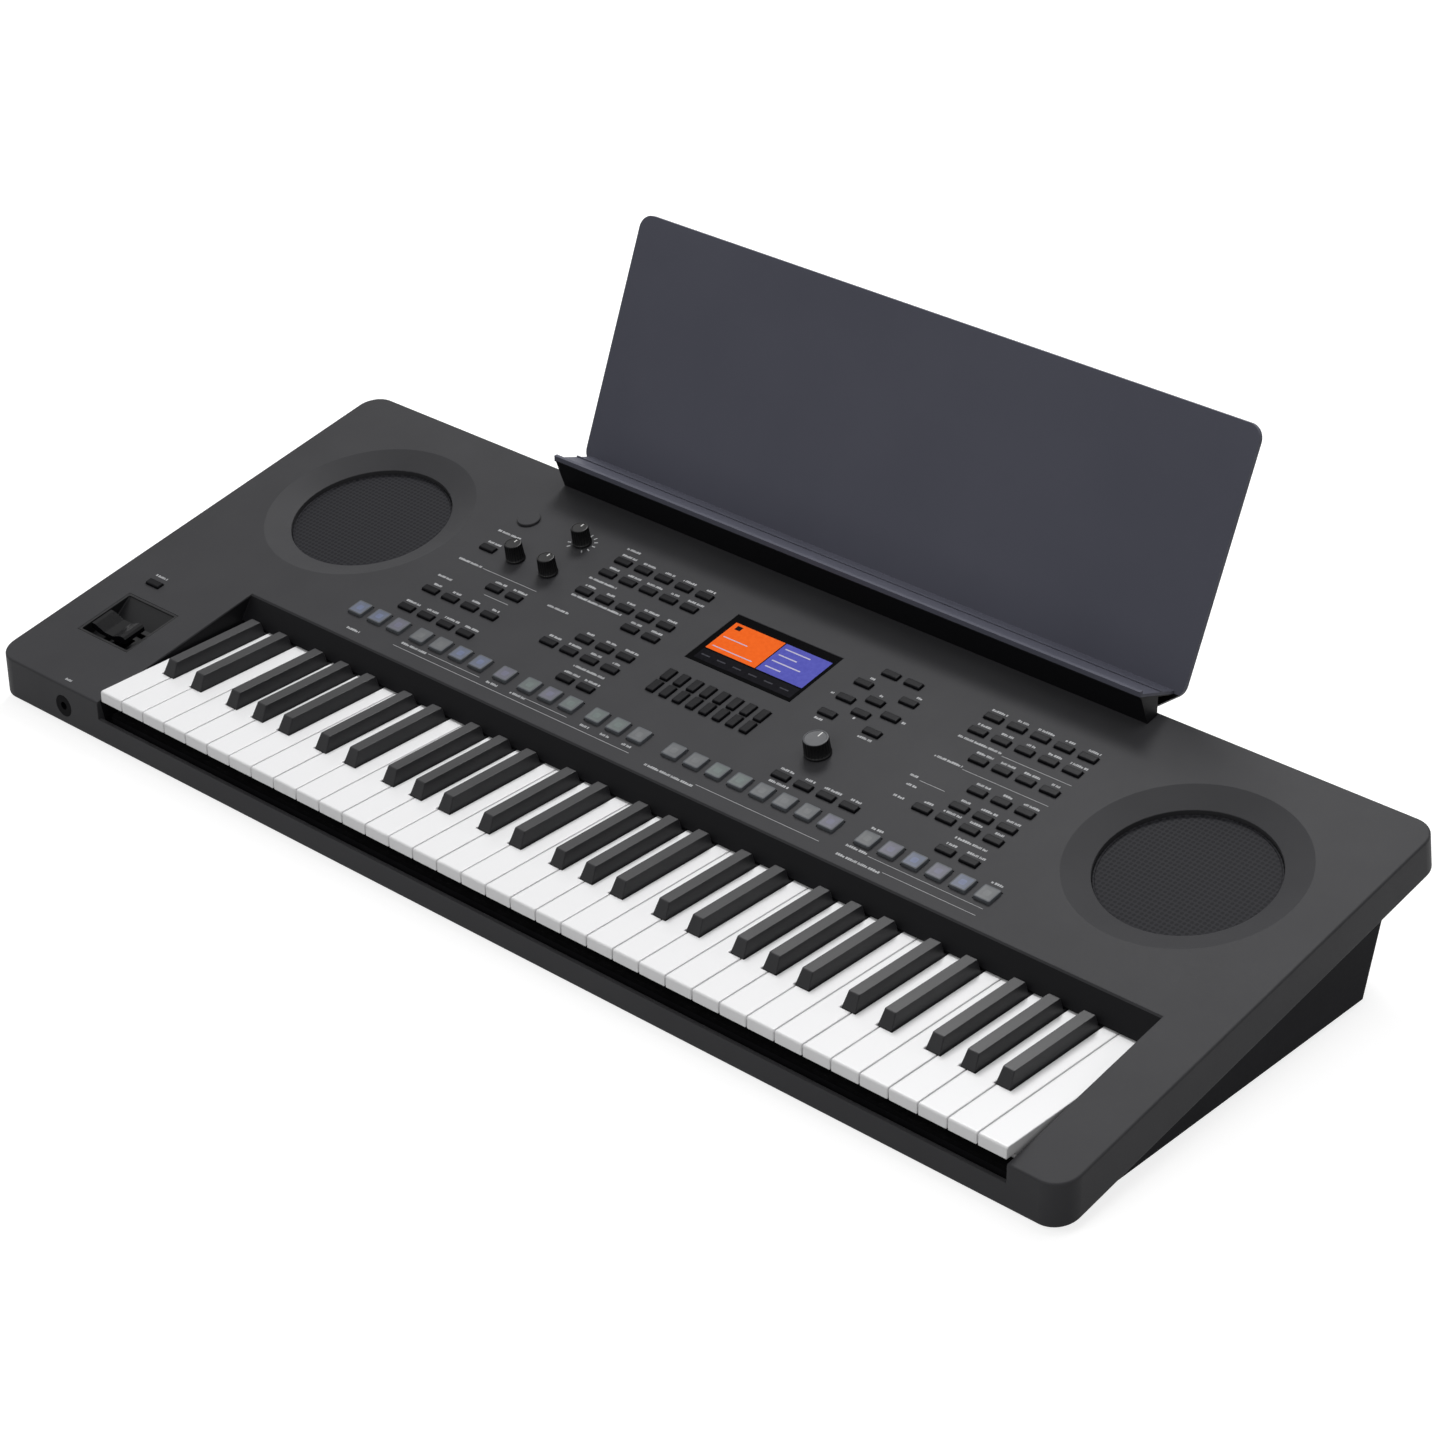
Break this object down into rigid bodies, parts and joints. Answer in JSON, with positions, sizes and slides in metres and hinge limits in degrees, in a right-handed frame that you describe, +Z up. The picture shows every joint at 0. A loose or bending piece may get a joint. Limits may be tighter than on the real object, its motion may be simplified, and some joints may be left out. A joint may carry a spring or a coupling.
{
  "type": "arranger keyboard",
  "caption": "Portable arranger keyboard with sprung piano keys, a sloping control panel with buttons, knobs, display and joystick, dished speakers and a lift-off music rest.",
  "frame": {"origin": "bottom centre of the whole part's box, on the surface that the feet stand on", "axes": "+X to the player's right along the keys, +Y from the player towards the music rest, +Z up"},
  "size_m": [1.01, 0.4864, 0.2986],
  "materials": {
    "case_top": "fine-grained moulded plastic, mid grey",
    "case_base": "grained moulded plastic, near black",
    "rubber": "moulded rubber",
    "screw_steel": "blackened steel",
    "grille_cloth": "perforated sheet with dark cloth",
    "pressed_steel": "black painted pressing",
    "ferrite": "sintered ferrite",
    "paper_cone": "pressed paper",
    "pot_metal": "stamped metal",
    "display_gloss": "glossy clear acrylic over a lit screen",
    "display_body": "moulded frame",
    "circuit_board": "green solder mask",
    "black_plastic": "moulded black plastic",
    "joystick_plastic": "satin black plastic",
    "jack_metal": "black plastic socket with plated contacts",
    "port_metal": "folded plated sheet",
    "keybed_plastic": "moulded dark plastic",
    "stop_felt": "pressed felt, charcoal",
    "contact_rubber": "moulded silicone",
    "spring_steel": "rolled spring steel",
    "rest_plastic": "smooth moulded plastic, dark grey",
    "button_plastic": "satin moulded plastic, charcoal",
    "pad_lit": "translucent plastic, lit blue",
    "pad_grey": "translucent plastic, grey",
    "dial_grey": "satin moulded plastic, light grey",
    "knob_black": "ribbed black plastic",
    "white_key": "glossy moulded plastic, ivory white",
    "black_key": "satin moulded plastic, black"
  },
  "bodies": {
    "chassis": {"top_case": "case_top", "bottom_case": "case_base", "rubber_feet": "rubber", "case_screws": "screw_steel", "speaker_grilles": "grille_cloth", "speaker_baskets": "pressed_steel", "speaker_magnets": "ferrite", "speaker_cones": "paper_cone", "speaker_screws": "screw_steel", "control_pots": "pot_metal", "display_window": "display_gloss", "display_module": "display_body", "panel_boards": "circuit_board", "joystick_housing": "black_plastic", "headphone_jack": "jack_metal", "rear_jack_plate": "case_base", "rear_jacks": "jack_metal", "dc_inlet": "jack_metal", "usb_ports": "port_metal", "main_board": "circuit_board", "keybed_frame": "keybed_plastic", "key_felt": "stop_felt", "contact_board": "circuit_board", "contact_strip": "contact_rubber", "key_springs": "spring_steel"},
    "key_c": {"key_c": "white_key"},
    "key_c_sharp": {"key_c_sharp": "black_key"},
    "key_d": {"key_d": "white_key"},
    "key_d_sharp": {"key_d_sharp": "black_key"},
    "key_e": {"key_e": "white_key"},
    "key_f": {"key_f": "white_key"},
    "key_f_sharp": {"key_f_sharp": "black_key"},
    "key_g": {"key_g": "white_key"},
    "key_g_sharp": {"key_g_sharp": "black_key"},
    "key_a": {"key_a": "white_key"},
    "key_a_sharp": {"key_a_sharp": "black_key"},
    "key_b": {"key_b": "white_key"},
    "left_buttons": {"left_buttons": "button_plastic"},
    "style_buttons": {"style_buttons": "button_plastic"},
    "song_buttons": {"song_buttons": "button_plastic"},
    "display_buttons": {"display_buttons": "button_plastic"},
    "cursor_buttons": {"cursor_buttons": "button_plastic"},
    "page_buttons": {"page_buttons": "button_plastic"},
    "voice_buttons": {"voice_buttons": "button_plastic"},
    "joystick_button": {"joystick_button": "button_plastic"},
    "power_button": {"power_button": "button_plastic"},
    "style_pads": {"style_pads": "pad_lit"},
    "registration_pads": {"registration_pads": "pad_grey"},
    "part_pads": {"part_pads": "pad_lit"},
    "volume_knob": {"volume_knob": "knob_black", "volume_shaft": "pot_metal"},
    "live_left_knob": {"live_left_knob": "knob_black", "live_left_shaft": "pot_metal"},
    "live_right_knob": {"live_right_knob": "knob_black", "live_right_shaft": "pot_metal"},
    "dial_knob": {"dial_knob": "dial_grey", "dial_shaft": "pot_metal"},
    "joystick_gimbal": {"joystick_gimbal": "black_plastic"},
    "joystick_lever": {"joystick_lever": "joystick_plastic"},
    "music_rest": {"music_rest": "rest_plastic"}
  },
  "joints": [
    {"name": "key_c_press", "type": "hinge", "parent": "chassis", "child": "key_c", "pos_m": [0, -0.04319, 0.038], "axis": [1, 0, 0], "range_deg": [0, 2.8], "stiffness_Nm_per_rad": 5, "springref_deg": -5.73},
    {"name": "key_c_sharp_press", "type": "hinge", "parent": "chassis", "child": "key_c_sharp", "pos_m": [0, -0.04319, 0.038], "axis": [1, 0, 0], "range_deg": [0, 2.8], "stiffness_Nm_per_rad": 5, "springref_deg": -5.73},
    {"name": "key_d_press", "type": "hinge", "parent": "chassis", "child": "key_d", "pos_m": [0, -0.04319, 0.038], "axis": [1, 0, 0], "range_deg": [0, 2.8], "stiffness_Nm_per_rad": 5, "springref_deg": -5.73},
    {"name": "key_d_sharp_press", "type": "hinge", "parent": "chassis", "child": "key_d_sharp", "pos_m": [0, -0.04319, 0.038], "axis": [1, 0, 0], "range_deg": [0, 2.8], "stiffness_Nm_per_rad": 5, "springref_deg": -5.73},
    {"name": "key_e_press", "type": "hinge", "parent": "chassis", "child": "key_e", "pos_m": [0, -0.04319, 0.038], "axis": [1, 0, 0], "range_deg": [0, 2.8], "stiffness_Nm_per_rad": 5, "springref_deg": -5.73},
    {"name": "key_f_press", "type": "hinge", "parent": "chassis", "child": "key_f", "pos_m": [0, -0.04319, 0.038], "axis": [1, 0, 0], "range_deg": [0, 2.8], "stiffness_Nm_per_rad": 5, "springref_deg": -5.73},
    {"name": "key_f_sharp_press", "type": "hinge", "parent": "chassis", "child": "key_f_sharp", "pos_m": [0, -0.04319, 0.038], "axis": [1, 0, 0], "range_deg": [0, 2.8], "stiffness_Nm_per_rad": 5, "springref_deg": -5.73},
    {"name": "key_g_press", "type": "hinge", "parent": "chassis", "child": "key_g", "pos_m": [0, -0.04319, 0.038], "axis": [1, 0, 0], "range_deg": [0, 2.8], "stiffness_Nm_per_rad": 5, "springref_deg": -5.73},
    {"name": "key_g_sharp_press", "type": "hinge", "parent": "chassis", "child": "key_g_sharp", "pos_m": [0, -0.04319, 0.038], "axis": [1, 0, 0], "range_deg": [0, 2.8], "stiffness_Nm_per_rad": 5, "springref_deg": -5.73},
    {"name": "key_a_press", "type": "hinge", "parent": "chassis", "child": "key_a", "pos_m": [0, -0.04319, 0.038], "axis": [1, 0, 0], "range_deg": [0, 2.8], "stiffness_Nm_per_rad": 5, "springref_deg": -5.73},
    {"name": "key_a_sharp_press", "type": "hinge", "parent": "chassis", "child": "key_a_sharp", "pos_m": [0, -0.04319, 0.038], "axis": [1, 0, 0], "range_deg": [0, 2.8], "stiffness_Nm_per_rad": 5, "springref_deg": -5.73},
    {"name": "key_b_press", "type": "hinge", "parent": "chassis", "child": "key_b", "pos_m": [0, -0.04319, 0.038], "axis": [1, 0, 0], "range_deg": [0, 2.8], "stiffness_Nm_per_rad": 5, "springref_deg": -5.73},
    {"name": "left_buttons_press", "type": "slide", "parent": "chassis", "child": "left_buttons", "axis": [0, 0.1822, -0.9833], "range_m": [0, 0.001], "stiffness_N_per_m": 1000, "springref_m": -0.001},
    {"name": "style_buttons_press", "type": "slide", "parent": "chassis", "child": "style_buttons", "axis": [0, 0.1822, -0.9833], "range_m": [0, 0.001], "stiffness_N_per_m": 1000, "springref_m": -0.001},
    {"name": "song_buttons_press", "type": "slide", "parent": "chassis", "child": "song_buttons", "axis": [0, 0.1822, -0.9833], "range_m": [0, 0.001], "stiffness_N_per_m": 1000, "springref_m": -0.001},
    {"name": "display_buttons_press", "type": "slide", "parent": "chassis", "child": "display_buttons", "axis": [0, 0.1822, -0.9833], "range_m": [0, 0.001], "stiffness_N_per_m": 1000, "springref_m": -0.001},
    {"name": "cursor_buttons_press", "type": "slide", "parent": "chassis", "child": "cursor_buttons", "axis": [0, 0.1822, -0.9833], "range_m": [0, 0.001], "stiffness_N_per_m": 1000, "springref_m": -0.001},
    {"name": "page_buttons_press", "type": "slide", "parent": "chassis", "child": "page_buttons", "axis": [0, 0.1822, -0.9833], "range_m": [0, 0.001], "stiffness_N_per_m": 1000, "springref_m": -0.001},
    {"name": "voice_buttons_press", "type": "slide", "parent": "chassis", "child": "voice_buttons", "axis": [0, 0.1822, -0.9833], "range_m": [0, 0.001], "stiffness_N_per_m": 1000, "springref_m": -0.001},
    {"name": "joystick_button_press", "type": "slide", "parent": "chassis", "child": "joystick_button", "axis": [0, 0.1822, -0.9833], "range_m": [0, 0.001], "stiffness_N_per_m": 1000, "springref_m": -0.001},
    {"name": "power_button_press", "type": "slide", "parent": "chassis", "child": "power_button", "axis": [0, 0.1822, -0.9833], "range_m": [0, 0.001], "stiffness_N_per_m": 1000, "springref_m": -0.001},
    {"name": "style_pads_press", "type": "slide", "parent": "chassis", "child": "style_pads", "axis": [0, 0.1822, -0.9833], "range_m": [0, 0.001], "stiffness_N_per_m": 1000, "springref_m": -0.001},
    {"name": "registration_pads_press", "type": "slide", "parent": "chassis", "child": "registration_pads", "axis": [0, 0.1822, -0.9833], "range_m": [0, 0.001], "stiffness_N_per_m": 1000, "springref_m": -0.001},
    {"name": "part_pads_press", "type": "slide", "parent": "chassis", "child": "part_pads", "axis": [0, 0.1822, -0.9833], "range_m": [0, 0.001], "stiffness_N_per_m": 1000, "springref_m": -0.001},
    {"name": "volume_turn", "type": "hinge", "parent": "chassis", "child": "volume_knob", "pos_m": [-0.21261, 0.08817, 0.09991], "axis": [0, -0.1822, 0.9833], "range_deg": [-140, 140]},
    {"name": "live_left_turn", "type": "hinge", "parent": "chassis", "child": "live_left_knob", "pos_m": [-0.2426, 0.04737, 0.09235], "axis": [0, -0.1822, 0.9833], "range_deg": [-140, 140]},
    {"name": "live_right_turn", "type": "hinge", "parent": "chassis", "child": "live_right_knob", "pos_m": [-0.2083, 0.04737, 0.09235], "axis": [0, -0.1822, 0.9833], "range_deg": [-140, 140]},
    {"name": "dial_turn", "type": "hinge", "parent": "chassis", "child": "dial_knob", "pos_m": [0.10539, -0.00721, 0.08224], "axis": [0, -0.1822, 0.9833], "continuous": true},
    {"name": "joystick_sideways", "type": "hinge", "parent": "chassis", "child": "joystick_gimbal", "pos_m": [-0.4438, -0.17095, 0.03562], "axis": [0, 0.9833, 0.1822], "range_deg": [-12, 12], "stiffness_Nm_per_rad": 0.4},
    {"name": "joystick_up_down", "type": "hinge", "parent": "joystick_gimbal", "child": "joystick_lever", "pos_m": [-0.4438, -0.17095, 0.03562], "axis": [1, 0, 0], "range_deg": [-12, 12], "stiffness_Nm_per_rad": 0.4},
    {"name": "music_rest_lift", "type": "slide", "parent": "chassis", "child": "music_rest", "axis": [0, 0.3827, 0.9239], "range_m": [0, 0.07]}
  ]
}
